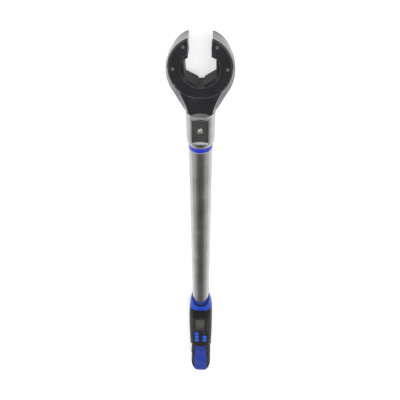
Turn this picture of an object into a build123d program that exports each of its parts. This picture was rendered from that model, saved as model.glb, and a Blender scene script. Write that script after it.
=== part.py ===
from build123d import *
from math import sin, cos, tan, radians, degrees, sqrt, asin, pi
import os

os.makedirs("parts", exist_ok=True)

# ---------------------------------------------------------------------------
# Electronic torque wrench with a slotted through-ratchet head.
# Millimetres. X is across the tool, +Y runs from the handle to the head,
# +Z is up out of the display. The tool lies on its back on z = 0 and the
# origin is under the middle of its length.
# ---------------------------------------------------------------------------
AX = 16.4            # height of the tube axis over the resting plane
HY = 330.0           # y of the hexagon's centre


def yy(d):
    """y of a station d mm from the hexagon's centre towards the handle."""
    return HY - d


# head
HEX_AF = 32.0        # across the flats of the jaw
SLOT_W = 23.2        # open slot of housing
PLATE_SLOT_W = 24.4  # open slot of the two cover plates
HEAD_T = 22.4        # over both cover plates
PLATE_T = 1.5
BODY_T = 19.4        # housing between the plates
NECK_T = 21.4
FRONT_PLATE_R = 31.6
REAR_PLATE_R = 32.6
PLATE_HOLE_R = 20.0
HUB_R = 19.7
TOOTH_R = 24.5
ROOT_R = 23.4
TEETH = 60
BORE_R = 24.8
RING_TURN = 2.4      # the ring rests a little turned in the housing
PIVOT_R = 28.4
PAWL_TIPS = (-123.0, -57.0)   # polar angles of the two engaged tooth gaps
PAWL_SPAN = 34.0
PAWL_POCKET_R = 31.3
FLOOR_Z = -6.8
PAWL_LIFT = 5.0

# spigot and socket
SPIGOT_W = 18.0
SPIGOT_H = 14.0
NECK_END = 52.1
SPIGOT_END = 84.0
SOCKET_R = 16.4
SOCKET_FLAT = 13.4
SOCKET_END = 94.2
CATCH_D = 70.0

# tube
TUBE_R = 13.95
TUBE_BORE = 12.0
TUBE_FROM = 99.9
TUBE_TO = 450.0
STUB_R = 11.95
STUB_TO = 118.0

# handle: distance, half width, top z, corner radius
HANDLE = [
    (435.8, 18.9, 32.2, 11.5),
    (448.0, 19.7, 32.9, 11.5),
    (462.0, 20.1, 33.1, 11.0),
    (497.0, 20.1, 33.1, 11.0),
    (536.0, 19.4, 33.1, 11.0),
    (560.0, 18.8, 33.0, 11.5),
    (584.0, 18.6, 32.8, 12.0),
    (600.0, 18.7, 32.8, 12.0),
    (618.0, 19.3, 33.0, 12.0),
    (650.0, 20.2, 33.1, 12.0),
    (668.0, 19.8, 32.7, 12.0),
]
HOUSE = [            # display half, a little fuller than the grip it meets
    (435.8, 18.9, 32.2, 11.5),
    (448.0, 19.8, 32.9, 11.5),
    (462.0, 20.3, 33.1, 11.0),
    (497.0, 20.8, 33.1, 11.0),
    (536.0, 20.7, 33.1, 11.0),
    (560.0, 20.5, 33.0, 11.0),
    (592.0, 20.3, 32.8, 11.0),
]
HANDLE_END = [       # distance, half width, top z, bottom z, corner radius
    (679.0, 18.2, 31.4, 0.6, 11.5),
    (686.0, 15.6, 29.0, 3.0, 10.0),
    (690.3, 12.0, 26.0, 6.2, 8.0),
    (692.0, 8.2, 22.6, 9.8, 5.6),
]
Z_LOW = -0.5         # section bottom before the underside is planed off at 0
OVER = 1.8           # rubber and strip thickness
PROUD = 0.4          # the strip stands over the rubber
CASE_SCREWS = ((10.8, 456.8), (-10.8, 456.8), (9.3, 566.0), (-9.3, 566.0), (9.2, 648.0), (-9.2, 648.0))
SHELL_OUT = 1.9      # shell surface under the grips
SHELL_IN = 3.8       # inside of the shells
STRIP_TOP = 8.7     # half width of the blue strip, display end
STRIP_LOW = 13.0     # half width of the blue strip, far end
KEEL = 12.6          # half width of the flat keel of the lower shell

BUTTON_W, BUTTON_L, BUTTON_TRAVEL = 7.8, 10.3, 0.8
BUTTONS = {
    "left_button_top": (-6.9, 517.2),
    "left_button_middle": (-6.9, 529.4),
    "left_button_bottom": (-6.9, 541.6),
    "right_button_top": (7.5, 529.2),
    "right_button_bottom": (7.5, 541.4),
}
INDICATOR = (7.3, 516.0)
LCD_X, LCD_W, LCD_D0, LCD_D1 = -1.1, 15.4, 468.2, 502.4
BEZEL_W, BEZEL_D0, BEZEL_D1 = 27.6, 461.2, 509.4


def save(builder, label):
    builder.part.label = label
    export_step(builder.part, "parts/" + label + ".step")


def polar(r, a):
    return (r * cos(radians(a)), HY + r * sin(radians(a)))


# ===========================================================================
# HEAD
# ===========================================================================
# Outline of the forged housing: wide at mid height, narrower at its faces.
WIDE = [(13.0, -NECK_END), (16.5, -49.4), (18.4, -46.4), (22.0, -39.8), (27.0, -30.2),
        (31.7, -21.4), (34.5, -12.6), (35.0, -4.2)]
WIDE_TOP = 31.9
FACE_R = 32.5

with BuildPart() as head_housing:
    for side in (1, -1):
        with BuildSketch(Plane.XY.offset(AX + side * 4.6)):
            with BuildLine():
                Line((0, HY - NECK_END), (13.0, HY - NECK_END))
                ThreePointArc((13.0, HY - NECK_END), (15.5, HY - 51.2), (16.7, HY - 49.0))
                Spline((16.7, HY - 49.0), (18.4, HY - 46.2), (22.0, HY - 39.8), (27.0, HY - 30.2), (29.4, HY - 26.0))
                Spline((29.4, HY - 26.0), (31.7, HY - 21.4), (34.2, HY - 13.6), (35.0, HY - 4.0))
                ThreePointArc((35.0, HY - 4.0), (24.9, HY + 21.35), (0, HY + WIDE_TOP))
                mirror(about=Plane.YZ)
            make_face()
        with BuildSketch(Plane.XY.offset(AX + side * NECK_T / 2)):
            a1 = radians(-47.5)
            a2 = radians(-7.0)
            p1 = (FACE_R * cos(a1), HY + FACE_R * sin(a1))
            p2 = (FACE_R * cos(a2), HY + FACE_R * sin(a2))
            am = (a1 + a2) / 2
            pm = (FACE_R * cos(am), HY + FACE_R * sin(am))
            at = (a2 + pi / 2) / 2
            pt = (FACE_R * cos(at), HY + FACE_R * sin(at))
            with BuildLine():
                Line((0, HY - NECK_END), (9.0, HY - NECK_END))
                ThreePointArc((9.0, HY - NECK_END), (12.2, HY - 51.0), (13.6, HY - 48.0))
                Spline((13.6, HY - 48.0), (14.1, HY - 45.5), (15.0, HY - 42.0), (18.4, HY - 32.5), p1)
                ThreePointArc(p1, pm, p2)
                ThreePointArc(p2, pt, (0, HY + FACE_R))
                mirror(about=Plane.YZ)
            make_face()
        loft(ruled=True)
    with BuildSketch(Plane.XY.offset(AX - 4.6)):
        with BuildLine():
            Line((0, HY - NECK_END), (13.0, HY - NECK_END))
            ThreePointArc((13.0, HY - NECK_END), (15.5, HY - 51.2), (16.7, HY - 49.0))
            Spline((16.7, HY - 49.0), (18.4, HY - 46.2), (22.0, HY - 39.8), (27.0, HY - 30.2), (29.4, HY - 26.0))
            Spline((29.4, HY - 26.0), (31.7, HY - 21.4), (34.2, HY - 13.6), (35.0, HY - 4.0))
            ThreePointArc((35.0, HY - 4.0), (24.9, HY + 21.35), (0, HY + WIDE_TOP))
            mirror(about=Plane.YZ)
        make_face()
    extrude(amount=9.2)
    # seats of the two cover plates
    for side, r in ((1, FRONT_PLATE_R), (-1, REAR_PLATE_R)):
        with BuildSketch(Plane.XY.offset(AX + side * BODY_T / 2)):
            with Locations((0, HY)):
                Circle(r + 0.12)
            with Locations((0, HY + 24)):
                Rectangle(90, 48)
        extrude(amount=side * 4, mode=Mode.SUBTRACT)
    # bore of the ratchet ring
    with BuildSketch(Plane.XY.offset(AX)):
        with Locations((0, HY)):
            Circle(BORE_R)
    extrude(amount=20, both=True, mode=Mode.SUBTRACT)
    # open slot
    with BuildSketch(Plane.XY.offset(AX)):
        with Locations((0, HY + 30)):
            Rectangle(SLOT_W, 60)
    extrude(amount=20, both=True, mode=Mode.SUBTRACT)
    # pawl pockets, open to the front plate
    for tip in PAWL_TIPS:
        with BuildSketch(Plane.XY.offset(AX + FLOOR_Z)):
            with BuildLine():
                a0, a9 = tip - 5.0, tip + PAWL_SPAN + 7.5
                Line(polar(BORE_R - 1.5, a0), polar(29.6, a0))
                ThreePointArc(polar(29.6, a0), polar(31.0, (a0 + tip + 6) / 2), polar(PAWL_POCKET_R, tip + 8))
                ThreePointArc(polar(PAWL_POCKET_R, tip + 8), polar(PAWL_POCKET_R, (tip + 8 + a9) / 2),
                              polar(PAWL_POCKET_R, a9))
                Line(polar(PAWL_POCKET_R, a9), polar(BORE_R - 1.5, a9))
                ThreePointArc(polar(BORE_R - 1.5, a9), polar(BORE_R - 1.5, (a0 + a9) / 2), polar(BORE_R - 1.5, a0))
            make_face()
        extrude(amount=30, mode=Mode.SUBTRACT)
        # pin hole in the pocket floor
        with BuildSketch(Plane.XY.offset(AX - BODY_T / 2)):
            with Locations(polar(PIVOT_R, tip + PAWL_SPAN)):
                Circle(1.52)
        extrude(amount=5, mode=Mode.SUBTRACT)
        # spring hole, radial, behind the pawl's nose
        sx, sy = polar(29.0, tip + 7.0)
        with BuildSketch(Plane(origin=(sx, sy, AX + 1.3), x_dir=(0, 0, 1),
                               z_dir=(cos(radians(tip + 7)), sin(radians(tip + 7)), 0))):
            Circle(1.7)
        extrude(amount=7.4, mode=Mode.SUBTRACT)
    # cover screw holes
    with BuildSketch(Plane.XY.offset(AX)):
        with Locations(*[polar(27.3, a) for a in (53.6, 126.4, 0.0, 180.0)]):
            Circle(1.02)
    extrude(amount=20, both=True, mode=Mode.SUBTRACT)
    # rectangular spigot
    with BuildSketch(Plane(origin=(0, yy(NECK_END - 1), AX), x_dir=(1, 0, 0), z_dir=(0, -1, 0))):
        RectangleRounded(SPIGOT_W, SPIGOT_H, 1.0)
    extrude(amount=SPIGOT_END - NECK_END + 1)
    chamfer(head_housing.faces().sort_by(Axis.Y)[0].edges(), 0.7)
    # stepped bore of the catch pin
    with BuildSketch(Plane.XY.offset(AX - 20)):
        with Locations((0, yy(CATCH_D))):
            Circle(3.25)
    extrude(amount=24.0, mode=Mode.SUBTRACT)
    with BuildSketch(Plane.XY.offset(AX)):
        with Locations((0, yy(CATCH_D))):
            Circle(2.55)
    extrude(amount=20, mode=Mode.SUBTRACT)
save(head_housing, "head_housing")


SCREW_ANGLES = (53.6, 126.4, 0.0, 180.0)
for label, side, radius in (("front_cover_plate", 1, FRONT_PLATE_R), ("rear_cover_plate", -1, REAR_PLATE_R)):
    with BuildPart() as cover:
        with BuildSketch(Plane.XY.offset(AX + side * BODY_T / 2)):
            with Locations((0, HY)):
                Circle(radius)
                Circle(PLATE_HOLE_R, mode=Mode.SUBTRACT)
            with Locations((0, HY + 30)):
                Rectangle(PLATE_SLOT_W, 60, mode=Mode.SUBTRACT)
            with Locations(*[polar(27.3, a) for a in SCREW_ANGLES]):
                Circle(1.05, mode=Mode.SUBTRACT)
        extrude(amount=side * PLATE_T)
        # countersinks for the screw heads
        for a in SCREW_ANGLES:
            cx, cy = polar(27.3, a)
            with BuildSketch(Plane(origin=(cx, cy, AX + side * HEAD_T / 2), x_dir=(1, 0, 0), z_dir=(0, 0, side))):
                Circle(1.6)
            extrude(amount=-0.5, taper=45, mode=Mode.SUBTRACT)
        rim = cover.faces().sort_by(Axis.Z)[-1 if side > 0 else 0].edges().filter_by(
            lambda e: e.geom_type == GeomType.CIRCLE and e.radius > 25)
        chamfer(rim, 0.45)
    save(cover, label)

with BuildPart() as cover_screws:
    for side in (1, -1):
        for a in SCREW_ANGLES:
            cx, cy = polar(27.3, a)
            with BuildSketch(Plane(origin=(cx, cy, AX + side * (HEAD_T / 2 - 0.05)), x_dir=(1, 0, 0),
                                   z_dir=(0, 0, side))):
                Circle(1.5)
            extrude(amount=-0.45, taper=45)
            with BuildSketch(Plane(origin=(cx, cy, AX + side * (HEAD_T / 2 - 0.06)), x_dir=(1, 0, 0),
                                   z_dir=(0, 0, side))):
                Circle(0.98)
            extrude(amount=-7.5)
            with BuildSketch(Plane(origin=(cx, cy, AX + side * HEAD_T / 2), x_dir=(1, 0, 0),
                                   z_dir=(0, 0, side))):
                RegularPolygon(0.6, 6)
            extrude(amount=-0.6, mode=Mode.SUBTRACT)
save(cover_screws, "cover_screws")

# The ratchet ring: hexagon jaw, slot, fine teeth, a hub that runs in both plates.
with BuildPart() as ratchet_ring:
    with BuildSketch(Plane.XY.offset(AX - 9.3)):
        with BuildLine():
            pts = []
            for i in range(TEETH):
                a = PAWL_TIPS[0] + i * 360.0 / TEETH
                pts.append(polar(ROOT_R, a))
                pts.append(polar(TOOTH_R, a + 5.55))
                pts.append(polar(TOOTH_R, a + 6.0 - 0.001))
            Polyline(*pts, close=True)
        make_face()
    extrude(amount=18.6)
    with BuildSketch(Plane.XY.offset(AX)):
        with Locations((0, HY)):
            Circle(HUB_R)
    extrude(amount=HEAD_T / 2 - 0.5, both=True)
    hub_faces = [f for f in ratchet_ring.faces().filter_by(Axis.Z)]
    # hexagon, one corner towards the handle, with relief notch in that corner
    with BuildSketch(Plane(origin=(0, HY, AX - 20), x_dir=(cos(radians(RING_TURN)), sin(radians(RING_TURN)), 0),
                           z_dir=(0, 0, 1))):
        RegularPolygon(HEX_AF / 2 / cos(radians(30)), 6, rotation=30)
        with Locations((0, -14.4)):
            Rectangle(6.4, 8.8)
        with Locations((0, 25)):
            Rectangle(SLOT_W, 50)
    extrude(amount=40, mode=Mode.SUBTRACT)
    mouth = ratchet_ring.faces().filter_by(Axis.Z).sort_by(Axis.Z)
    for f in (mouth[0], mouth[-1]):
        inner = f.edges().filter_by(lambda e: e.geom_type == GeomType.LINE and
                                    Vector(e.center().X, e.center().Y - HY).length < 17.5)
        chamfer(inner, 0.8)
save(ratchet_ring, "ratchet_ring")

# Two pawls that point the same way round, on pins in the housing.
for label, tip in (("left_pawl", PAWL_TIPS[0]), ("right_pawl", PAWL_TIPS[1])):
    with BuildPart() as pawl:
        px, py = polar(PIVOT_R, tip + PAWL_SPAN)
        with BuildSketch(Plane.XY.offset(AX + FLOOR_Z + 0.15)):
            with BuildLine():
                Polyline(polar(23.56, tip + 0.45), polar(24.62, tip + 5.6), polar(24.95, tip + 9.0),
                         polar(25.7, tip + PAWL_SPAN - 7.0), polar(PIVOT_R, tip + PAWL_SPAN),
                         polar(30.4, tip + PAWL_SPAN - 5.5),
                         polar(28.9, tip + 14.0), polar(27.6, tip + 3.0), polar(26.2, tip + 0.0),
                         polar(24.7, tip + 0.3), close=True)
            make_face()
            with Locations((px, py)):
                Circle(2.55)
                Circle(1.56, mode=Mode.SUBTRACT)
        extrude(amount=BODY_T / 2 - FLOOR_Z - 0.3)
    save(pawl, label)

with BuildPart() as pawl_pins:
    for tip in PAWL_TIPS:
        with BuildSketch(Plane.XY.offset(AX - BODY_T / 2 + 0.05)):
            with Locations(polar(PIVOT_R, tip + PAWL_SPAN)):
                Circle(1.5)
        extrude(amount=BODY_T - 0.1)
save(pawl_pins, "pawl_pins")

for label, tip in (("left_pawl_spring", PAWL_TIPS[0]), ("right_pawl_spring", PAWL_TIPS[1])):
    with BuildPart() as coil:
        ux, uy = cos(radians(tip + 7)), sin(radians(tip + 7))
        sx, sy = polar(29.35, tip + 7)
        seat = Plane(origin=(sx, sy, AX + 1.3), x_dir=(0, 0, 1), z_dir=(ux, uy, 0))
        with BuildLine(seat):
            turns = Helix(pitch=1.45, height=6.3, radius=1.2)
        with BuildSketch(Plane(origin=turns @ 0, z_dir=turns % 0)):
            Circle(0.2)
        sweep(path=turns)
    save(coil, label)

# Catch pin of the interchangeable head, its spring and the plug under it.
with BuildPart() as catch_pin:
    with BuildSketch(Plane.XY.offset(AX + 1.3)):
        with Locations((0, yy(CATCH_D))):
            Circle(2.5)
    extrude(amount=11.3)
    fillet(catch_pin.faces().sort_by(Axis.Z)[-1].edges(), 0.9)
    with BuildSketch(Plane.XY.offset(AX + 1.3)):
        with Locations((0, yy(CATCH_D))):
            Circle(3.15)
    extrude(amount=2.6)
    with BuildSketch(Plane.XY.offset(AX + 0.3)):
        with Locations((0, yy(CATCH_D))):
            Circle(1.6)
    extrude(amount=8.5, mode=Mode.SUBTRACT)
    # cross mark in the pin's face
    with BuildSketch(Plane.XY.offset(AX + 12.6)):
        with Locations((0, yy(CATCH_D))):
            Rectangle(0.9, 4.2)
            Rectangle(4.2, 0.9)
    extrude(amount=-0.9, mode=Mode.SUBTRACT)
save(catch_pin, "catch_pin")

with BuildPart() as catch_plug:
    with BuildSketch(Plane.XY.offset(AX - 6.9)):
        with Locations((0, yy(CATCH_D))):
            Circle(3.23)
    extrude(amount=1.6)
    with BuildSketch(Plane.XY.offset(AX - 6.9)):
        with Locations((0, yy(CATCH_D))):
            Rectangle(4.4, 0.8)
    extrude(amount=0.7, mode=Mode.SUBTRACT)
save(catch_plug, "catch_plug")

with BuildPart() as catch_spring:
    with BuildLine(Plane(origin=(0, yy(CATCH_D), AX - 5.0))):
        catch_helix = Helix(pitch=1.9, height=13.2, radius=1.15)
    with BuildSketch(Plane(origin=catch_helix @ 0, z_dir=catch_helix % 0)):
        Circle(0.22)
    sweep(path=catch_helix)
save(catch_spring, "catch_spring")

# ===========================================================================
# SOCKET, RING AND TUBE
# ===========================================================================
with BuildPart() as head_socket:
    # turned body about the tube axis
    with BuildSketch(Plane.XY.offset(AX)):
        with BuildLine():
            Polyline((0, yy(NECK_END + 0.2)), (SOCKET_R - 1.2, yy(NECK_END + 0.2)), (SOCKET_R, yy(NECK_END + 1.4)),
                     (SOCKET_R, yy(83.0)))
            Spline((SOCKET_R, yy(83.0)), (SOCKET_R - 0.35, yy(88.0)), (14.6, yy(93.2)),
                   tangents=[(0, -1), (-0.5, -1)])
            Polyline((14.6, yy(93.2)), (13.7, yy(SOCKET_END)), (STUB_R, yy(SOCKET_END)), (STUB_R, yy(STUB_TO)),
                     (0, yy(STUB_TO)), (0, yy(NECK_END + 0.2)))
        make_face()
    revolve(axis=Axis((0, 0, AX), (0, 1, 0)))
    # flat windows, front and back
    for side in (1, -1):
        with BuildSketch(Plane.XY.offset(AX + side * SOCKET_FLAT)):
            with Locations((0, yy(71.0))):
                Rectangle(40, 30.6)
        extrude(amount=side * 10, mode=Mode.SUBTRACT)
    # rectangular socket for the spigot
    with BuildSketch(Plane(origin=(0, yy(NECK_END - 1), AX), x_dir=(1, 0, 0), z_dir=(0, -1, 0))):
        Rectangle(SPIGOT_W + 0.2, SPIGOT_H + 0.2)
    extrude(amount=35.5, mode=Mode.SUBTRACT)
    # catch hole through the front wall
    with BuildSketch(Plane.XY.offset(AX)):
        with Locations((0, yy(CATCH_D))):
            Circle(2.75)
    extrude(amount=30, mode=Mode.SUBTRACT)
    hole_rim = head_socket.edges().filter_by(
        lambda e: e.geom_type == GeomType.CIRCLE and abs(e.radius - 2.75) < 0.01 and e.center().Z > AX + 13)
    chamfer(hole_rim, 0.5)
    # bore for the sensing beam
    with BuildSketch(Plane(origin=(0, yy(STUB_TO), AX), x_dir=(1, 0, 0), z_dir=(0, 1, 0))):
        Circle(6.02)
    extrude(amount=20, mode=Mode.SUBTRACT)
save(head_socket, "head_socket")

with BuildPart() as blue_ring:
    with BuildSketch(Plane(origin=(0, yy(SOCKET_END + 0.05), AX), x_dir=(1, 0, 0), z_dir=(0, -1, 0))):
        Circle(14.35)
        Circle(STUB_R + 0.05, mode=Mode.SUBTRACT)
    extrude(amount=TUBE_FROM - SOCKET_END - 0.1)
    fillet(blue_ring.edges().filter_by(lambda e: e.geom_type == GeomType.CIRCLE and e.radius > 14), 0.8)
save(blue_ring, "blue_ring")

with BuildPart() as main_tube:
    with BuildSketch(Plane(origin=(0, yy(TUBE_FROM), AX), x_dir=(1, 0, 0), z_dir=(0, -1, 0))):
        Circle(TUBE_R)
        Circle(TUBE_BORE, mode=Mode.SUBTRACT)
    extrude(amount=TUBE_TO - TUBE_FROM)
    chamfer(main_tube.edges().filter_by(lambda e: e.geom_type == GeomType.CIRCLE and e.radius > 13.5), 0.5)
save(main_tube, "main_tube")

BEAM_W, BEAM_H = 10.0, 14.0
with BuildPart() as sensing_beam:
    with BuildSketch(Plane(origin=(0, yy(STUB_TO - 18), AX), x_dir=(1, 0, 0), z_dir=(0, -1, 0))):
        Circle(6.0)
    extrude(amount=18.5)
    with BuildSketch(Plane(origin=(0, yy(STUB_TO + 0.2), AX), x_dir=(1, 0, 0), z_dir=(0, -1, 0))):
        Rectangle(BEAM_W, BEAM_H)
    extrude(amount=92)
    # waist that the strain gauges read
    for side in (1, -1):
        with BuildSketch(Plane.XY.offset(AX)):
            with Locations((side * (BEAM_W / 2 + 1.0), yy(148))):
                RectangleRounded(4.0, 34, 1.9)
        extrude(amount=20, both=True, mode=Mode.SUBTRACT)
save(sensing_beam, "sensing_beam")

with BuildPart() as strain_gauges:
    for side in (1, -1):
        for d in (142, 154):
            with BuildSketch(Plane(origin=(side * (BEAM_W / 2 - 0.98), yy(d), AX), x_dir=(0, 1, 0),
                                   z_dir=(side, 0, 0))):
                RectangleRounded(7.0, 4.0, 0.6)
            extrude(amount=0.3)
save(strain_gauges, "strain_gauges")

with BuildPart() as beam_bush:
    with BuildSketch(Plane(origin=(0, yy(196), AX), x_dir=(1, 0, 0), z_dir=(0, -1, 0))):
        Circle(TUBE_BORE - 0.05)
        Rectangle(BEAM_W + 0.1, BEAM_H + 0.1, mode=Mode.SUBTRACT)
        with Locations((0, 8.6)):
            Circle(1.5, mode=Mode.SUBTRACT)
            Rectangle(1.2, 2.6, mode=Mode.SUBTRACT)
    extrude(amount=10)
save(beam_bush, "beam_bush")

CABLE_R = 1.05
with BuildPart() as sensor_cable:
    with BuildLine() as run:
        FilletPolyline((0, yy(168), AX + 8.6), (0, yy(235), AX + 8.6), (0, yy(300), AX + 1.0),
                       (0, yy(438), AX + 1.0), (0, yy(462), AX - 2.4), (0, yy(482), AX - 2.4), radius=14)
    with BuildSketch(Plane(origin=run.line @ 0, z_dir=run.line % 0)):
        Circle(CABLE_R)
    sweep()
save(sensor_cable, "sensor_cable")

# ===========================================================================
# HANDLE
# ===========================================================================
handle_solids = []
for inset in (0.0, SHELL_OUT, SHELL_IN, OVER, PROUD):
    with BuildPart() as grown:
        for d, w, top, r in HANDLE:
            low = Z_LOW + inset
            with BuildSketch(Plane(origin=(0, yy(d), (top - inset + low) / 2), x_dir=(1, 0, 0), z_dir=(0, -1, 0))):
                RectangleRounded(2 * (w - inset), top - inset - low, r - inset)
        for d, w, top, low, r in HANDLE_END:
            with BuildSketch(Plane(origin=(0, yy(d - inset), (top + low) / 2), x_dir=(1, 0, 0), z_dir=(0, -1, 0))):
                RectangleRounded(2 * (w - inset * 0.9), (top - low) - 1.8 * inset, max(r - inset, 1.2))
        loft()
        if inset == 0.0:
            with BuildSketch(Plane.XY):
                with Locations((0, yy(560))):
                    Rectangle(80, 400)
            extrude(amount=-5, mode=Mode.SUBTRACT)
    handle_solids.append(grown.part)
OUT_SOLID, MID_SOLID, INN_SOLID, SKIN_SOLID, RUBBER_SOLID = handle_solids

with BuildPart() as house:
    for d, w, top, r in HOUSE:
        with BuildSketch(Plane(origin=(0, yy(d), (top + Z_LOW) / 2), x_dir=(1, 0, 0), z_dir=(0, -1, 0))):
            RectangleRounded(2 * w, top - Z_LOW, r)
    loft()
    with BuildSketch(Plane.XY):
        with Locations((0, yy(560))):
            Rectangle(80, 400)
    extrude(amount=-5, mode=Mode.SUBTRACT)
HOUSE_SOLID = house.part

# The display panel ends in a rounded tip on top and slants back down the
# sides; a blue border follows it and runs on into the strip down the grip.
TIP = [(17.5, 559.9), (15.0, 560.8), (12.7, 562.4), (8.4, 566.4), (0, 569.7)]
SLANT = [(559.5, 31.0), (573.0, 24.0), (587.5, 16.35)]      # distance and height of the side line
BORDER_W = 2.3


def panel_block(grow):
    """The display half up to its end line, grown by a gap, as a tall block."""
    with BuildPart() as block:
        with BuildSketch(Plane.XY.offset(AX)):
            with BuildLine():
                Polyline((0, yy(430)), (30, yy(430)), (30, yy(559.9 + grow)), (17.5, yy(559.9 + grow)))
                Spline(*[(x, yy(d + grow)) for x, d in TIP], tangents=[(-1, -0.1), (-1, 0)])
                mirror(about=Plane.YZ)
            make_face()
        extrude(amount=25, both=True)
        for side in (1, -1):
            with BuildSketch(Plane(origin=(side * 13.2, 0, 0), x_dir=(0, 1, 0), z_dir=(1, 0, 0))):
                with BuildLine():
                    Polyline((yy(540), -4), (yy(540), 32.0), (yy(SLANT[0][0] + grow), 32.0),
                             *[(yy(d + grow), z) for d, z in SLANT], (yy(SLANT[-1][0] + grow), -4), close=True)
                make_face()
            extrude(amount=side * 20)
    return block.part


def strip_block(grow):
    """The blue border and strip, as a tall block over mid height."""
    with BuildPart() as block:
        with BuildSketch(Plane.XY.offset(AX)):
            with BuildLine():
                Polyline((0, yy(500)), (30, yy(500)), (30, yy(559.9 + BORDER_W + grow)),
                         (17.5, yy(559.9 + BORDER_W + grow)))
                Spline((17.5, yy(559.9 + BORDER_W + grow)), (14.2, yy(562.9 + grow)), (11.4, yy(566.5 + grow)),
                       (STRIP_TOP + 0.6 + grow, yy(572.5 + grow)))
                Spline((STRIP_TOP + 0.6 + grow, yy(572.5 + grow)), (10.6 + grow, yy(590)), (12.0 + grow, yy(610)),
                       (13.0 + grow, yy(645)), (STRIP_LOW + grow, yy(668)), (11.6 + grow, yy(700)))
                Line((11.6 + grow, yy(700)), (0, yy(700)))
                mirror(about=Plane.YZ)
            make_face()
        extrude(amount=25)
        for side in (1, -1):
            with BuildSketch(Plane(origin=(side * 13.2, 0, 0), x_dir=(0, 1, 0), z_dir=(1, 0, 0))):
                with BuildLine():
                    g = BORDER_W + grow
                    Polyline((yy(540), AX + 0.1 - grow), (yy(540), 33.0), (yy(SLANT[0][0] + g), 33.0),
                             *[(yy(d + g), z) for d, z in SLANT[:2]],
                             (yy(SLANT[-1][0] + g), AX + 0.1 - grow), close=True)
                make_face()
            extrude(amount=side * 20)
        with BuildSketch(Plane.XY.offset(AX)):
            with Locations((0, yy(690))):
                Rectangle(2 * (11.4 + grow), 24)
        extrude(amount=-12 - grow)
    return block.part


PANEL = panel_block(0.0)
PANEL_CLEAR = panel_block(0.12)
STRIP = strip_block(0.0)
STRIP_CLEAR = strip_block(0.1)

# full section in front of the grips, and a flush keel under the whole length
with BuildPart() as fore_block:
    with BuildSketch(Plane.XY.offset(-2)):
        with Locations((0, yy((430 + SLANT[-1][0]) / 2))):
            Rectangle(90, SLANT[-1][0] - 430)
    extrude(amount=AX + 12)
with BuildPart() as keel:
    with BuildSketch(Plane.XY.offset(-2)):
        with Locations((0, yy(610))):
            Rectangle(2 * KEEL, 120)
    extrude(amount=7.5)
fore_skin = HOUSE_SOLID & fore_block.part
keel_skin = OUT_SOLID & keel.part

with BuildPart() as lower_shell:
    add(MID_SOLID)
    add(fore_skin)
    add(keel_skin)
    with BuildSketch(Plane.XY.offset(AX)):
        with Locations((0, yy(560))):
            Rectangle(90, 400)
    extrude(amount=40, mode=Mode.SUBTRACT)
    add(INN_SOLID, mode=Mode.SUBTRACT)
    # front bulkhead that clasps the tube
    with BuildSketch(Plane(origin=(0, yy(437.0), AX), x_dir=(1, 0, 0), z_dir=(0, -1, 0))):
        with Locations((0, -7.3)):
            Rectangle(32, 14.4)
        Circle(TUBE_R + 0.08, mode=Mode.SUBTRACT)
        with Locations((0, 10)):
            Rectangle(40, 20.1, mode=Mode.SUBTRACT)
    extrude(amount=9)
    with BuildSketch(Plane(origin=(0, yy(430), AX), x_dir=(1, 0, 0), z_dir=(0, -1, 0))):
        Circle(TUBE_R + 0.08)
    extrude(amount=21.5, mode=Mode.SUBTRACT)
    # screw pillars
    for x, d in CASE_SCREWS:
        with BuildSketch(Plane.XY.offset(3.0)):
            with Locations((x, yy(d))):
                Circle(2.9)
        extrude(amount=AX - 3.0)
    # walls of the battery bay
    with BuildSketch(Plane.XY.offset(3.0)):
        with Locations((0, yy(571.4)), (0, yy(631.6))):
            Rectangle(25.0, 1.8)
    extrude(amount=11.5)
    for x, d in CASE_SCREWS:
        with BuildSketch(Plane.XY):
            with Locations((x, yy(d))):
                Circle(2.6)
        extrude(amount=3.0, mode=Mode.SUBTRACT)
        with BuildSketch(Plane.XY):
            with Locations((x, yy(d))):
                Circle(1.3)
        extrude(amount=30, mode=Mode.SUBTRACT)
    # battery opening with a rebate for the door
    with BuildSketch(Plane.XY):
        with Locations((0, yy(601.5))):
            RectangleRounded(23.4, 57.4, 2.0)
    extrude(amount=5, mode=Mode.SUBTRACT)
save(lower_shell, "lower_shell")

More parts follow.
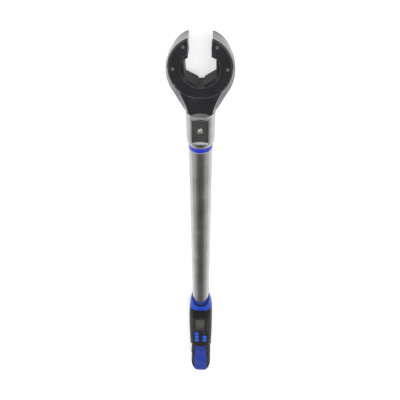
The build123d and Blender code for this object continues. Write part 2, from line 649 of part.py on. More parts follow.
panel_skin = HOUSE_SOLID & PANEL
with BuildPart() as upper_shell:
    add(MID_SOLID)
    add(panel_skin)
    with BuildSketch(Plane.XY.offset(AX + 0.05)):
        with Locations((0, yy(560))):
            Rectangle(90, 400)
    extrude(amount=-40, mode=Mode.SUBTRACT)
    add(INN_SOLID, mode=Mode.SUBTRACT)
    # front bulkhead
    with BuildSketch(Plane(origin=(0, yy(437.0), AX), x_dir=(1, 0, 0), z_dir=(0, -1, 0))):
        with Locations((0, 7.2)):
            Rectangle(32, 14.3)
        Circle(TUBE_R + 0.08, mode=Mode.SUBTRACT)
    extrude(amount=9)
    with BuildSketch(Plane(origin=(0, yy(430), AX), x_dir=(1, 0, 0), z_dir=(0, -1, 0))):
        Circle(TUBE_R + 0.08)
    extrude(amount=21.5, mode=Mode.SUBTRACT)
    # screw pillars
    for x, d in CASE_SCREWS:
        with BuildSketch(Plane.XY.offset(AX + 0.05)):
            with Locations((x, yy(d))):
                Circle(2.9)
                Circle(1.25, mode=Mode.SUBTRACT)
        extrude(amount=14.0)
    # pillars of the circuit board
    for x, d in ((0, 509.0), (0, 553.6), (7.9, 463.6), (-7.9, 463.6)):
        with BuildSketch(Plane.XY.offset(23.45)):
            with Locations((x, yy(d))):
                Circle(1.9)
                Circle(0.85, mode=Mode.SUBTRACT)
        extrude(amount=6.6)
    # bezel seat, display opening
    with BuildSketch(Plane.XY.offset(31.5)):
        with Locations((0, yy((BEZEL_D0 + BEZEL_D1) / 2))):
            RectangleRounded(BEZEL_W + 0.1, BEZEL_D1 - BEZEL_D0 + 0.1, 4.05)
    extrude(amount=8, mode=Mode.SUBTRACT)
    with BuildSketch(Plane.XY.offset(26)):
        with Locations((0, yy(485.6))):
            RectangleRounded(20.4, 39.4, 1.0)
    extrude(amount=8, mode=Mode.SUBTRACT)
    # shadow groove over the bezel, below the brow
    with BuildSketch(Plane.XY.offset(31.7)):
        with Locations((0, yy(459.2))):
            RectangleRounded(27.0, 3.0, 1.4)
    extrude(amount=8, mode=Mode.SUBTRACT)
    # button and indicator openings
    with BuildSketch(Plane.XY.offset(26)):
        for x, d in BUTTONS.values():
            with Locations((x, yy(d))):
                Ellipse(BUTTON_W / 2 + 0.15, BUTTON_L / 2 + 0.15)
        with Locations((INDICATOR[0], yy(INDICATOR[1]))):
            Ellipse(4.0, 3.0)
    extrude(amount=10, mode=Mode.SUBTRACT)
    # pockets for the button collars on the inside
    with BuildSketch(Plane.XY.offset(25)):
        for x, d in BUTTONS.values():
            with Locations((x, yy(d))):
                Ellipse(BUTTON_W / 2 + 0.9, BUTTON_L / 2 + 0.85)
    extrude(amount=4.3, mode=Mode.SUBTRACT)
save(upper_shell, "upper_shell")

# Blue border and strip over the grip, round the far end
with BuildPart() as skin_core:
    add(SKIN_SOLID)
    with BuildSketch(Plane.XY):
        with Locations((0, yy(560))):
            Rectangle(90, 400)
    extrude(amount=4.4)
strip_skin = (OUT_SOLID & STRIP) - PANEL_CLEAR - skin_core.part
with BuildPart() as grip_cover:
    add(strip_skin)
save(grip_cover, "grip_cover")

# Rubber grips down both sides
with BuildPart() as keel_block:
    with BuildSketch(Plane.XY.offset(-1)):
        with Locations((0, yy(570.05))):
            Rectangle(2 * KEEL + 0.1, 200.1)
    extrude(amount=AX)
    with BuildSketch(Plane.XY.offset(-1)):
        with Locations((0, yy(690))):
            Rectangle(2 * 11.5, 30)
    extrude(amount=40)
for label, side in (("right_side_grip", 1), ("left_side_grip", -1)):
    with BuildPart() as grip_half:
        add(RUBBER_SOLID)
        with BuildSketch(Plane.XY.offset(-4)):
            with Locations((-side * 26.5, yy(570))):
                Rectangle(68, 300)
            with Locations((0, yy((430 + TIP[0][0]) / 2))):
                Rectangle(90, TIP[0][0] - 430)
        extrude(amount=50, mode=Mode.SUBTRACT)
        with BuildSketch(Plane.XY.offset(-4)):
            with Locations((0, yy((430 + SLANT[-1][0] + 0.15) / 2))):
                Rectangle(90, SLANT[-1][0] + 0.15 - 430)
        extrude(amount=AX + 4.1, mode=Mode.SUBTRACT)
        add(SKIN_SOLID, mode=Mode.SUBTRACT)
        add(PANEL_CLEAR, mode=Mode.SUBTRACT)
        add(STRIP_CLEAR, mode=Mode.SUBTRACT)
        add(keel_block.part, mode=Mode.SUBTRACT)
    piece = grip_half.part.solids().sort_by(lambda s: s.volume)[-1]
    with BuildPart() as grip:
        add(piece)
    save(grip, label)

# Collar with a dished mouth: side horns reach forward, the top is cut back.
COLLAR = [(410.6, 15.0, 14.9, 14.8), (418.0, 16.5, 15.4, 14.9), (428.0, 18.3, 15.9, 14.0), (435.6, 18.9, 16.35, 12.2)]
with BuildPart() as collar_body:
    for d, w, h, r in COLLAR:
        with BuildSketch(Plane(origin=(0, yy(d), AX), x_dir=(1, 0, 0), z_dir=(0, -1, 0))):
            RectangleRounded(2 * w, 2 * h, r)
    loft()
with BuildPart() as mouth_front:
    with BuildSketch(Plane.XY.offset(AX)):
        with BuildLine():
            Line((-15.3, yy(400)), (15.3, yy(400)))
            Line((15.3, yy(400)), (15.3, yy(410.6)))
            ThreePointArc((15.3, yy(410.6)), (0, yy(417.3)), (-15.3, yy(410.6)))
            Line((-15.3, yy(410.6)), (-15.3, yy(400)))
        make_face()
    extrude(amount=30, both=True)
with BuildPart() as mouth_cut:
    with BuildSketch(Plane.XY.offset(AX)):
        with BuildLine():
            ThreePointArc((-14.7, yy(412.0)), (0, yy(418.2)), (14.7, yy(412.0)))
            Line((14.7, yy(412.0)), (14.7, yy(416.0)))
            ThreePointArc((14.7, yy(416.0)), (0, yy(425.3)), (-14.7, yy(416.0)))
            Line((-14.7, yy(416.0)), (-14.7, yy(412.0)))
        make_face()
    extrude(amount=30, both=True)
with BuildPart() as handle_collar:
    add(collar_body.part)
    add(mouth_front.part, mode=Mode.SUBTRACT)
    add(mouth_cut.part, mode=Mode.SUBTRACT)
    with BuildSketch(Plane(origin=(0, yy(400), AX), x_dir=(1, 0, 0), z_dir=(0, -1, 0))):
        Circle(TUBE_R + 0.06)
    extrude(amount=50, mode=Mode.SUBTRACT)
save(handle_collar, "handle_collar")
with BuildPart() as collar_seal:
    with BuildSketch(Plane.XY.offset(AX)):
        with BuildLine():
            Polyline((TUBE_R + 0.06, yy(411.0)), (14.45, yy(411.0)), (15.5, yy(425.2)), (TUBE_R + 0.06, yy(425.2)),
                     close=True)
        make_face()
    revolve(axis=Axis((0, 0, AX), (0, 1, 0)))
    add(mouth_cut.part, mode=Mode.INTERSECT)
save(collar_seal, "collar_seal")

# ---- display ----
with BuildPart() as display_bezel:
    with BuildSketch(Plane.XY.offset(31.55)):
        with Locations((0, yy((BEZEL_D0 + BEZEL_D1) / 2))):
            RectangleRounded(BEZEL_W, BEZEL_D1 - BEZEL_D0, 4.0)
    extrude(amount=2.15)
    fillet(display_bezel.faces().sort_by(Axis.Z)[-1].edges(), 0.8)
    with BuildSketch(Plane.XY.offset(32.9)):
        with Locations((LCD_X + 0.4, yy((LCD_D0 + LCD_D1) / 2 - 0.3))):
            RectangleRounded(LCD_W + 3.6, LCD_D1 - LCD_D0 + 4.4, 1.2)
    extrude(amount=5, mode=Mode.SUBTRACT)
    with BuildSketch(Plane.XY.offset(30)):
        with Locations((LCD_X, yy((LCD_D0 + LCD_D1) / 2))):
            RectangleRounded(LCD_W, LCD_D1 - LCD_D0, 0.6)
    extrude(amount=8, mode=Mode.SUBTRACT)
save(display_bezel, "display_bezel")

with BuildPart() as display_lens:
    with BuildSketch(Plane.XY.offset(32.92)):
        with Locations((LCD_X + 0.4, yy((LCD_D0 + LCD_D1) / 2 - 0.3))):
            RectangleRounded(LCD_W + 3.4, LCD_D1 - LCD_D0 + 4.2, 1.1)
    extrude(amount=0.6)
save(display_lens, "display_lens")

with BuildPart() as lcd_panel:
    with BuildSketch(Plane.XY.offset(28.7)):
        with Locations((0, yy(485.6))):
            RectangleRounded(20.0, 39.0, 0.8)
    extrude(amount=2.8)
save(lcd_panel, "lcd_panel")

with BuildPart() as circuit_board:
    with BuildSketch(Plane.XY.offset(21.8)):
        with Locations((0, yy(509.5))):
            RectangleRounded(22.0, 97.0, 1.0)
        with Locations((0, yy(509.0)), (0, yy(553.6)), (7.9, yy(463.6)), (-7.9, yy(463.6))):
            Circle(1.1, mode=Mode.SUBTRACT)
    extrude(amount=1.6)
save(circuit_board, "circuit_board")

with BuildPart() as board_screws:
    for x, d in ((0, 509.0), (0, 553.6), (7.9, 463.6), (-7.9, 463.6)):
        with BuildSketch(Plane.XY.offset(21.75)):
            with Locations((x, yy(d))):
                Circle(1.8)
        extrude(amount=-1.3)
        with BuildSketch(Plane.XY.offset(21.7)):
            with Locations((x, yy(d))):
                Circle(0.8)
        extrude(amount=6.0)
        with BuildSketch(Plane.XY.offset(20.4)):
            with Locations((x, yy(d))):
                Rectangle(2.0, 0.5)
                Rectangle(0.5, 2.0)
        extrude(amount=0.6, mode=Mode.SUBTRACT)
save(board_screws, "board_screws")

with BuildPart() as tact_switches:
    for x, d in BUTTONS.values():
        with BuildSketch(Plane.XY.offset(23.42)):
            with Locations((x, yy(d))):
                Rectangle(6.0, 6.0)
        extrude(amount=1.4)
        with BuildSketch(Plane.XY.offset(24.8)):
            with Locations((x, yy(d))):
                Circle(1.6)
        extrude(amount=0.7)
save(tact_switches, "tact_switches")

with BuildPart() as keypad_membrane:
    with BuildSketch(Plane.XY.offset(25.55)):
        with Locations((0, yy(531.2))):
            RectangleRounded(25.0, 39.6, 3.0)
        with Locations((0, yy(509.0))):
            Circle(2.4, mode=Mode.SUBTRACT)
        with Locations((INDICATOR[0], yy(INDICATOR[1]))):
            Circle(2.6, mode=Mode.SUBTRACT)
    extrude(amount=0.6)
save(keypad_membrane, "keypad_membrane")

for label, (bx, bd) in BUTTONS.items():
    with BuildPart() as key:
        with BuildSketch(Plane.XY.offset(27.0)):
            with Locations((bx, yy(bd))):
                Ellipse(BUTTON_W / 2, BUTTON_L / 2)
        extrude(amount=7.6)
        fillet(key.faces().sort_by(Axis.Z)[-1].edges(), 1.3)
        with BuildSketch(Plane.XY.offset(28.2)):
            with Locations((bx, yy(bd))):
                Ellipse(BUTTON_W / 2 + 0.7, BUTTON_L / 2 + 0.7)
        extrude(amount=0.9)
    save(key, label)

with BuildPart() as indicator_lens:
    with BuildSketch(Plane.XY.offset(29.0)):
        with Locations((INDICATOR[0], yy(INDICATOR[1]))):
            Ellipse(3.95, 2.95)
    extrude(amount=4.5)
    fillet(indicator_lens.faces().sort_by(Axis.Z)[-1].edges(), 0.7)
save(indicator_lens, "indicator_lens")

with BuildPart() as indicator_led:
    with BuildSketch(Plane.XY.offset(23.42)):
        with Locations((INDICATOR[0], yy(INDICATOR[1]))):
            Circle(1.9)
    extrude(amount=1.0)
    with BuildSketch(Plane.XY.offset(24.4)):
        with Locations((INDICATOR[0], yy(INDICATOR[1]))):
            Circle(1.5)
    extrude(amount=4.0)
    fillet(indicator_led.faces().sort_by(Axis.Z)[-1].edges(), 1.2)
save(indicator_led, "indicator_led")

with BuildPart() as buzzer:
    with BuildSketch(Plane.XY.offset(21.75)):
        with Locations((0, yy(538))):
            Circle(6.0)
    extrude(amount=-4.2)
    with BuildSketch(Plane.XY.offset(17.55)):
        with Locations((0, yy(538))):
            Circle(0.9)
    extrude(amount=1.2, mode=Mode.SUBTRACT)
save(buzzer, "buzzer")

with BuildPart() as sensor_plug:
    with BuildSketch(Plane.XY.offset(21.75)):
        with Locations((0, yy(486.2))):
            Rectangle(8.0, 8.2)
    extrude(amount=-9.3)
save(sensor_plug, "sensor_plug")

# ---- batteries and their door ----
with BuildPart() as batteries:
    for x, turn in ((-7.2, 1), (7.2, -1)):
        mid = yy(601.5)
        with BuildSketch(Plane(origin=(x, mid - turn * 24.4, 11.6), x_dir=(1, 0, 0), z_dir=(0, turn, 0))):
            Circle(7.0)
        extrude(amount=47.9)
        with BuildSketch(Plane(origin=(x, mid + turn * 23.4, 11.6), x_dir=(1, 0, 0), z_dir=(0, turn, 0))):
            Circle(2.7)
        extrude(amount=1.5)
save(batteries, "batteries")

with BuildPart() as battery_contacts:
    for x in (-7.45, 7.45):
        for d, way in ((572.4, -1), (630.6, 1)):
            with BuildSketch(Plane(origin=(x, yy(d), 11.0), x_dir=(1, 0, 0), z_dir=(0, way, 0))):
                RectangleRounded(10.0, 8.0, 1.0)
            extrude(amount=0.3)
            with BuildSketch(Plane(origin=(x, yy(d), 11.0), x_dir=(1, 0, 0), z_dir=(0, way, 0))):
                Circle(2.2)
            extrude(amount=2.4)
save(battery_contacts, "battery_contacts")

DOOR_D0, DOOR_D1 = 573.0, 630.0
with BuildPart() as battery_door:
    with BuildSketch(Plane.XY.offset(0.15)):
        with Locations((0, yy((DOOR_D0 + DOOR_D1) / 2))):
            RectangleRounded(23.0, DOOR_D1 - DOOR_D0, 1.8)
    extrude(amount=1.8)
    # two ribs that spring against the sides of the opening
    with BuildSketch(Plane.XY.offset(1.95)):
        with Locations((10.6, yy((DOOR_D0 + DOOR_D1) / 2)), (-10.6, yy((DOOR_D0 + DOOR_D1) / 2))):
            Rectangle(1.2, 48.0)
    extrude(amount=1.5)
    # thumb ridges
    for i in range(4):
        with BuildSketch(Plane.XY.offset(0.15)):
            with Locations((0, yy(616.0 + 2.2 * i))):
                RectangleRounded(10.0, 1.0, 0.45)
        extrude(amount=0.5, mode=Mode.SUBTRACT)
save(battery_door, "battery_door")

with BuildPart() as case_screws:
    for x, d in CASE_SCREWS:
        with BuildSketch(Plane.XY.offset(2.95)):
            with Locations((x, yy(d))):
                Circle(2.3)
        extrude(amount=-1.7)
        with BuildSketch(Plane.XY.offset(2.9)):
            with Locations((x, yy(d))):
                Circle(1.2)
        extrude(amount=19.0)
        with BuildSketch(Plane.XY.offset(1.25)):
            with Locations((x, yy(d))):
                Rectangle(2.8, 0.6)
                Rectangle(0.6, 2.8)
        extrude(amount=0.9, mode=Mode.SUBTRACT)
save(case_screws, "case_screws")
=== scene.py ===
import math
import bpy, bmesh
from mathutils import Matrix, Vector

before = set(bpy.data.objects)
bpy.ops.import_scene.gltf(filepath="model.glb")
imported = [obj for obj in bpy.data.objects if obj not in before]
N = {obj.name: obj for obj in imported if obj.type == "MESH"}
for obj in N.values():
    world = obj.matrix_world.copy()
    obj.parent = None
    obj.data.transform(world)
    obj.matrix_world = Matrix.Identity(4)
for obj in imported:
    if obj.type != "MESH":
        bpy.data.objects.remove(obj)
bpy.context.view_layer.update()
HY, AXZ = 0.330, 0.0164


def yy(d):
    return HY - d / 1000.0


# ---------------------------------------------------------------- materials
class Nodes:
    """Small helper that builds one procedural material."""

    def __init__(self, name):
        self.mat = bpy.data.materials.new(name)
        self.mat.use_nodes = True
        self.nt = self.mat.node_tree
        self.b = self.nt.nodes["Principled BSDF"]
        self.co = self.nt.nodes.new("ShaderNodeTexCoord")

    def n(self, kind, **props):
        node = self.nt.nodes.new(kind)
        for k, v in props.items():
            setattr(node, k, v)
        return node

    def l(self, a, b):
        self.nt.links.new(a, b)

    def coords(self, scale=(1, 1, 1)):
        m = self.n("ShaderNodeMapping")
        m.inputs["Scale"].default_value = scale
        self.l(self.co.outputs["Object"], m.inputs["Vector"])
        return m.outputs["Vector"]

    def noise(self, scale, detail=4.0, rough=0.55, stretch=(1, 1, 1), distortion=0.0):
        t = self.n("ShaderNodeTexNoise")
        t.inputs["Scale"].default_value = scale
        t.inputs["Detail"].default_value = detail
        t.inputs["Roughness"].default_value = rough
        t.inputs["Distortion"].default_value = distortion
        self.l(self.coords(stretch), t.inputs["Vector"])
        return t.outputs["Fac"]

    def voronoi(self, scale, stretch=(1, 1, 1), feature="F1"):
        t = self.n("ShaderNodeTexVoronoi", feature=feature)
        t.inputs["Scale"].default_value = scale
        self.l(self.coords(stretch), t.inputs["Vector"])
        return t.outputs["Distance"]

    def ramp(self, fac, stops):
        r = self.n("ShaderNodeValToRGB")
        els = r.color_ramp.elements
        while len(els) > 1:
            els.remove(els[-1])
        els[0].position, els[0].color = stops[0][0], tuple(stops[0][1]) + (1,)
        for p, c in stops[1:]:
            e = els.new(p)
            e.color = tuple(c) + (1,)
        self.l(fac, r.inputs["Fac"])
        return r.outputs["Color"]

    def map(self, fac, a, b, lo, hi):
        m = self.n("ShaderNodeMapRange")
        m.inputs["From Min"].default_value = a
        m.inputs["From Max"].default_value = b
        m.inputs["To Min"].default_value = lo
        m.inputs["To Max"].default_value = hi
        self.l(fac, m.inputs["Value"])
        return m.outputs["Result"]

    def math(self, op, a, b):
        m = self.n("ShaderNodeMath", operation=op)
        for i, v in enumerate((a, b)):
            if isinstance(v, (int, float)):
                m.inputs[i].default_value = v
            else:
                self.l(v, m.inputs[i])
        return m.outputs[0]

    def mix(self, fac, a, b):
        m = self.n("ShaderNodeMix", data_type="RGBA")
        if isinstance(fac, (int, float)):
            m.inputs["Factor"].default_value = fac
        else:
            self.l(fac, m.inputs["Factor"])
        for key, v in ((6, a), (7, b)):
            if isinstance(v, (tuple, list)):
                m.inputs[key].default_value = tuple(v)[:3] + (1,)
            else:
                self.l(v, m.inputs[key])
        return m.outputs[2]

    def edge(self, radius, gain=6.0):
        """1 along outer edges, 0 on faces: the rounded normal against the true one."""
        bev = self.n("ShaderNodeBevel", samples=6)
        bev.inputs["Radius"].default_value = radius
        geo = self.n("ShaderNodeNewGeometry")
        d = self.n("ShaderNodeVectorMath", operation="DOT_PRODUCT")
        self.l(bev.outputs["Normal"], d.inputs[0])
        self.l(geo.outputs["Normal"], d.inputs[1])
        one = self.math("SUBTRACT", 1.0, d.outputs["Value"])
        g = self.n("ShaderNodeMath", operation="MULTIPLY", use_clamp=True)
        self.l(one, g.inputs[0])
        g.inputs[1].default_value = gain
        return g.outputs[0]

    def bump(self, height, strength, distance, soften=None):
        bp = self.n("ShaderNodeBump")
        bp.inputs["Strength"].default_value = strength
        bp.inputs["Distance"].default_value = distance
        self.l(height, bp.inputs["Height"])
        if soften:
            bev = self.n("ShaderNodeBevel", samples=4)
            bev.inputs["Radius"].default_value = soften
            self.l(bev.outputs["Normal"], bp.inputs["Normal"])
        self.l(bp.outputs["Normal"], self.b.inputs["Normal"])

    def color(self, out):
        self.l(out, self.b.inputs["Base Color"])

    def rough(self, out):
        self.l(out, self.b.inputs["Roughness"])

    def set(self, **kw):
        for k, v in kw.items():
            self.b.inputs[k.replace("_", " ")].default_value = v


def metal(name, dark, light, rlo, rhi, stretch=(1, 1, 1), scale=900, bump=0.02, edge=None, soften=0.0002, smudge=60):
    m = Nodes(name)
    m.set(Metallic=1.0)
    fine = m.noise(scale, 6, 0.6, stretch)
    big = m.noise(smudge, 4, 0.6)
    col = m.ramp(big, [(0.3, dark), (0.7, light)])
    # painted highlight: when an edge colour is given, the edges are mixed towards it
    if edge:
        e = m.edge(0.0004)
        col = m.mix(e, col, edge)
    m.color(col)
    m.rough(m.math("ADD", m.map(big, 0.3, 0.7, rlo, rhi), m.map(fine, 0.3, 0.7, 0.0, 0.05)))
    m.bump(fine, bump, 0.0001, soften)
    return m.mat


def black_metal(name, base, rough, wear_and_highlight=0.35, edge_radius=0.00035, sheen=0.6):
    m = Nodes(name)
    fine = m.noise(2600, 5, 0.6)
    big = m.noise(90, 5, 0.6)
    col = m.ramp(big, [(0.3, tuple(c * 0.75 for c in base)), (0.72, tuple(c * 1.35 for c in base))])
    # edges lightened to grey and made metallic: partly real bare-metal wear, partly a painted highlight along the
    # bevels
    e = m.edge(edge_radius, 5.0)
    edge_breakup = m.map(m.noise(1500, 3, 0.7), 0.35, 0.6, 0.15, 1.0)
    wear_highlight_mask = m.math("MULTIPLY", m.math("MULTIPLY", e, edge_breakup), wear_and_highlight)
    m.color(m.mix(wear_highlight_mask, col, (0.72, 0.72, 0.74)))
    m.l(m.math("ADD", m.math("MULTIPLY", wear_highlight_mask, 0.9), 0.15), m.b.inputs["Metallic"])
    m.rough(m.math("ADD", m.map(big, 0.3, 0.7, rough, rough + 0.12), m.map(fine, 0.3, 0.7, -0.04, 0.05)))
    m.set(Specular_IOR_Level=sheen)
    m.bump(fine, 0.12, 0.00008, 0.0002)
    return m.mat


def plastic(name, base, rough, grain=0.10, grain_scale=3200, spec=0.5, edge_col=None, coat=0.0, var=0.2, edge_gain=2.2,
            edge_radius=0.0006):
    m = Nodes(name)
    big = m.noise(70, 4, 0.6)
    fine = m.noise(grain_scale, 3, 0.7)
    col = m.ramp(big, [(0.3, tuple(c * (1 - var) for c in base)), (0.7, tuple(c * (1 + var) for c in base))])
    # edges mixed towards a second colour: painted highlights on the blue parts, black shell and bezel, painted shade
    # on the keys, the own edge colour of the board and cells
    if edge_col:
        col = m.mix(m.edge(edge_radius, edge_gain), col, edge_col)
    m.color(col)
    m.rough(m.math("ADD", m.map(big, 0.3, 0.7, rough - 0.03, rough + 0.05), m.map(fine, 0.3, 0.7, -0.03, 0.04)))
    m.set(Specular_IOR_Level=spec)
    if coat:
        m.set(Coat_Weight=coat, Coat_Roughness=0.08)
    m.bump(fine, grain, 0.00008, 0.0003)
    return m.mat


def rubber(name, base, rough=0.62):
    m = Nodes(name)
    big = m.noise(60, 4, 0.6)
    cells = m.voronoi(1500)
    fine = m.noise(3500, 3, 0.6)
    m.color(m.ramp(big, [(0.3, tuple(c * 0.8 for c in base)), (0.7, tuple(c * 1.4 for c in base))]))
    m.rough(m.math("ADD", m.map(big, 0.3, 0.7, rough - 0.05, rough + 0.08), m.map(fine, 0.3, 0.7, -0.03, 0.03)))
    m.set(Specular_IOR_Level=0.2)
    m.bump(m.math("ADD", m.math("MULTIPLY", cells, 0.7), m.math("MULTIPLY", fine, 0.4)), 0.28, 0.00012, 0.0004)
    return m.mat


def give(material, *names):
    for nm in names:
        o = N[nm]
        o.data.materials.clear()
        o.data.materials.append(material)


# chrome head and socket: the light edge colour is a painted highlight on the rims
chrome_head = metal("chrome_head", (0.11, 0.113, 0.123), (0.17, 0.174, 0.186), 0.13, 0.20, scale=1400, bump=0.015,
                    edge=(0.66, 0.66, 0.67))
chrome_socket = metal("chrome_socket", (0.30, 0.30, 0.298), (0.40, 0.398, 0.39), 0.09, 0.16, scale=1400, bump=0.012,
                      edge=(0.70, 0.70, 0.70))
chrome_tube = metal("chrome_tube", (0.34, 0.335, 0.325), (0.44, 0.432, 0.42), 0.15, 0.24, stretch=(1, 0.02, 1), scale=1700,
                    bump=0.05, soften=0.0003, smudge=40)
steel = metal("ground_steel", (0.42, 0.42, 0.43), (0.56, 0.56, 0.56), 0.24, 0.36, scale=2200, bump=0.06)
# catch pin: the near-white edge colour is a painted highlight on its dome
pin_steel = metal("pin_steel", (0.62, 0.56, 0.50), (0.80, 0.74, 0.68), 0.14, 0.24, scale=2200, bump=0.04,
                  edge=(0.95, 0.92, 0.88))
zinc = metal("black_zinc", (0.10, 0.10, 0.11), (0.16, 0.16, 0.17), 0.30, 0.42, scale=2200, bump=0.06)
foil = metal("gauge_foil", (0.70, 0.48, 0.20), (0.82, 0.60, 0.28), 0.25, 0.35, scale=2600, bump=0.05)
# black plates, ratchet ring and screws: the lightened edges are partly real wear and partly a painted highlight,
# strongest on the plates and screws
black_plate = black_metal("black_plate", (0.010, 0.0105, 0.013), 0.46, wear_and_highlight=0.9, edge_radius=0.00028, sheen=0.25)
black_ring = black_metal("black_ring", (0.008, 0.008, 0.009), 0.40, wear_and_highlight=0.30, sheen=0.25, edge_radius=0.0005)
black_screw = black_metal("black_screw", (0.045, 0.045, 0.048), 0.28, wear_and_highlight=0.9)
# blue band, collar and strip: the lighter edge colour is a painted highlight along the rims
blue_band = plastic("blue_band", (0.008, 0.020, 0.40), 0.30, grain=0.05, coat=0.3, edge_col=(0.03, 0.08, 0.55))
blue_collar = plastic("blue_collar", (0.010, 0.045, 0.40), 0.38, grain=0.08, spec=0.2, edge_col=(0.04, 0.12, 0.60))
blue_strip = plastic("blue_strip", (0.012, 0.034, 0.27), 0.46, grain=0.12, spec=0.2, edge_col=(0.09, 0.17, 0.52),
                     edge_radius=0.0009)
# keys: the darker edge colour is painted shade round the domed rims
blue_key = plastic("blue_key", (0.003, 0.075, 0.60), 0.25, grain=0.03, spec=0.35, coat=0.2, edge_col=(0.002, 0.03, 0.30))
# black shell and bezel: the lighter edge colour is a painted highlight along the edges
shell_black = plastic("shell_black", (0.007, 0.007, 0.008), 0.46, spec=0.18, grain=0.20, grain_scale=2600,
                      edge_col=(0.05, 0.05, 0.052))
bezel_black = plastic("bezel_black", (0.006, 0.006, 0.007), 0.34, spec=0.2, grain=0.06, coat=0.25, edge_col=(0.10, 0.10, 0.105),
                      edge_radius=0.0005)
lens_dark = plastic("lens_dark", (0.006, 0.004, 0.006), 0.12, grain=0.01, coat=0.7)
grip_rubber = rubber("grip_rubber", (0.007, 0.007, 0.0075))
seal_rubber = rubber("seal_rubber", (0.010, 0.010, 0.010), 0.5)
silicone = rubber("silicone_pad", (0.16, 0.16, 0.165), 0.5)
nylon = plastic("nylon", (0.62, 0.60, 0.54), 0.45, grain=0.08)
board_green = plastic("board_green", (0.012, 0.11, 0.045), 0.28, grain=0.10, grain_scale=900, coat=0.4, edge_col=(0.4, 0.38, 0.2))
part_black = plastic("part_black", (0.02, 0.02, 0.02), 0.45, grain=0.10)
led_clear = plastic("led_epoxy", (0.70, 0.70, 0.72), 0.12, grain=0.01, coat=0.5)
cell_sleeve = plastic("cell_sleeve", (0.26, 0.20, 0.04), 0.28, grain=0.04, coat=0.4, edge_col=(0.6, 0.6, 0.6))
cable_black = rubber("cable_jacket", (0.02, 0.02, 0.02), 0.5)

# display window: clear, slightly tinted
wm = Nodes("display_window")
wm.set(Transmission_Weight=1.0, IOR=1.35, Metallic=0.0)
wm.color(wm.ramp(wm.noise(120, 3, 0.5), [(0.3, (0.93, 0.94, 0.92)), (0.7, (0.98, 0.98, 0.97))]))
wm.rough(wm.map(wm.noise(500, 4, 0.6), 0.3, 0.7, 0.03, 0.10))
window = wm.mat

# liquid crystal: grey-green glass with a darker band at the grip end
lm = Nodes("liquid_crystal")
sep = lm.n("ShaderNodeSeparateXYZ")
lm.l(lm.co.outputs["Object"], sep.inputs[0])
band = lm.map(sep.outputs["Y"], yy(493.5), yy(492.5), 0.0, 1.0)
cloud = lm.ramp(lm.noise(160, 3, 0.5), [(0.3, (0.105, 0.112, 0.088)), (0.7, (0.125, 0.132, 0.106))])
low = lm.ramp(lm.noise(160, 3, 0.5), [(0.3, (0.060, 0.064, 0.050)), (0.7, (0.070, 0.075, 0.058))])
lm.color(lm.mix(band, low, cloud))
lm.rough(lm.map(lm.noise(700, 3, 0.5), 0.3, 0.7, 0.22, 0.34))
lm.set(Specular_IOR_Level=0.4)
lcd_mat = lm.mat

give(chrome_head, "head_housing")
give(chrome_socket, "head_socket")
give(chrome_tube, "main_tube")
give(steel, "left_pawl", "right_pawl", "pawl_pins", "left_pawl_spring", "right_pawl_spring", "catch_plug",
     "catch_spring", "sensing_beam", "board_screws", "battery_contacts")
give(pin_steel, "catch_pin")
give(zinc, "case_screws")
give(foil, "strain_gauges")
give(black_plate, "front_cover_plate", "rear_cover_plate")
give(black_ring, "ratchet_ring")
give(black_screw, "cover_screws")
give(blue_band, "blue_ring")
give(blue_collar, "handle_collar")
give(seal_rubber, "collar_seal")
give(blue_strip, "grip_cover")
give(shell_black, "upper_shell", "lower_shell", "battery_door")
give(bezel_black, "display_bezel")
give(lens_dark, "indicator_lens")
give(grip_rubber, "left_side_grip", "right_side_grip")
give(nylon, "beam_bush", "sensor_plug")
give(cable_black, "sensor_cable")
give(board_green, "circuit_board")
give(part_black, "tact_switches", "buzzer")
give(silicone, "keypad_membrane")
give(led_clear, "indicator_led")
give(cell_sleeve, "batteries")
give(window, "display_lens")
give(lcd_mat, "lcd_panel")
KEYS = ["left_button_top", "left_button_middle", "left_button_bottom", "right_button_top", "right_button_bottom"]
give(blue_key, *KEYS)

# ---------------------------------------------------------------- floor, light, camera
floor_mesh = bpy.data.meshes.new("studio_floor")
bm = bmesh.new()
bmesh.ops.create_grid(bm, x_segments=4, y_segments=4, size=6.0)
bm.to_mesh(floor_mesh)
bm.free()
floor = bpy.data.objects.new("studio_floor", floor_mesh)
bpy.context.scene.collection.objects.link(floor)
floor.location = (0, 0, -0.0002)
fm = Nodes("pale_floor")
fm.color(fm.ramp(fm.noise(3, 3, 0.5), [(0.3, (0.72, 0.72, 0.72)), (0.7, (0.75, 0.75, 0.75))]))
fm.set(Roughness=0.9, Specular_IOR_Level=0.1, Emission_Color=(1.0, 1.0, 1.0, 1.0), Emission_Strength=0.42)
floor_mesh.materials.append(fm.mat)

world = bpy.data.worlds.new("studio")
bpy.context.scene.world = world
world.use_nodes = True
wt = world.node_tree
bg = wt.nodes["Background"]
tc = wt.nodes.new("ShaderNodeTexCoord")


def wdot(vec):
    d = wt.nodes.new("ShaderNodeVectorMath")
    d.operation = "DOT_PRODUCT"
    wt.links.new(tc.outputs["Generated"], d.inputs[0])
    v = Vector(vec).normalized()
    d.inputs[1].default_value = v
    return d.outputs["Value"]


def wramp(fac, stops):
    r = wt.nodes.new("ShaderNodeValToRGB")
    els = r.color_ramp.elements
    while len(els) > 1:
        els.remove(els[-1])
    els[0].position, els[0].color = stops[0][0], (stops[0][1],) * 3 + (1,)
    for p, c in stops[1:]:
        e = els.new(p)
        e.color = (c, c, c, 1)
    wt.links.new(fac, r.inputs["Fac"])
    return r.outputs["Color"]


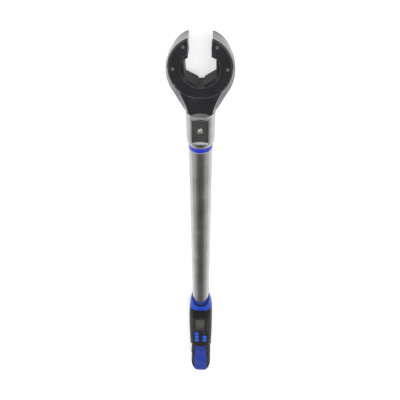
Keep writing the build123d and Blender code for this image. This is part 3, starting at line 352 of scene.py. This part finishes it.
# a dark ceiling strip over the handle end, pale everywhere else
dark = wramp(wdot((0.0, -0.66, 0.75)), [(0.0, 1.0), (0.70, 0.98), (0.86, 0.48), (0.95, 0.24), (1.0, 0.19)])
wt.links.new(dark, bg.inputs["Color"])
bg.inputs["Strength"].default_value = 0.85


def area(name, loc, target, size, size_y, power):
    ld = bpy.data.lights.new(name, "AREA")
    ld.shape = "RECTANGLE"
    ld.size, ld.size_y, ld.energy = size, size_y, power
    ob = bpy.data.objects.new(name, ld)
    ob.location = loc
    ob.rotation_euler = (Vector(target) - Vector(loc)).to_track_quat("-Z", "Y").to_euler()
    bpy.context.scene.collection.objects.link(ob)
    return ob


area("key_right", (0.9, 0.25, 1.1), (0, 0, 0), 0.35, 1.4, 9)
area("fill_left", (-1.2, 0.2, 0.9), (0, 0, 0), 0.9, 1.2, 7)
area("top_soft", (0.0, 1.1, 1.3), (0, 0.1, 0), 1.4, 0.8, 9)

K = 0.93
cam_fit = (17.33, 159.76, 407.09)
cam_pos = Vector((cam_fit[0] * K / 1000, (cam_fit[1] + 23.5) * K / 1000 + HY, cam_fit[2] * K / 1000 + AXZ))
pt, yw, rl = math.radians(43.354), math.radians(-1.876), math.radians(1.625)
F = Vector((0, -math.sin(pt), -math.cos(pt)))
U = Vector((0, math.cos(pt), -math.sin(pt)))
R = Vector((1, 0, 0))
F, R = F * math.cos(yw) + R * math.sin(yw), R * math.cos(yw) - F * math.sin(yw)
R, U = R * math.cos(rl) + U * math.sin(rl), U * math.cos(rl) - R * math.sin(rl)
cam_data = bpy.data.cameras.new("camera")
cam_data.sensor_width = 36.0
cam_data.lens = 390.36 / 400.0 * 36.0
cam_data.clip_start = 0.01
cam = bpy.data.objects.new("camera", cam_data)
bpy.context.scene.collection.objects.link(cam)
cam.matrix_world = Matrix(((R.x, U.x, -F.x, cam_pos.x), (R.y, U.y, -F.y, cam_pos.y), (R.z, U.z, -F.z, cam_pos.z),
                           (0, 0, 0, 1)))
bpy.context.scene.camera = cam
bpy.context.scene.view_settings.view_transform = "Standard"
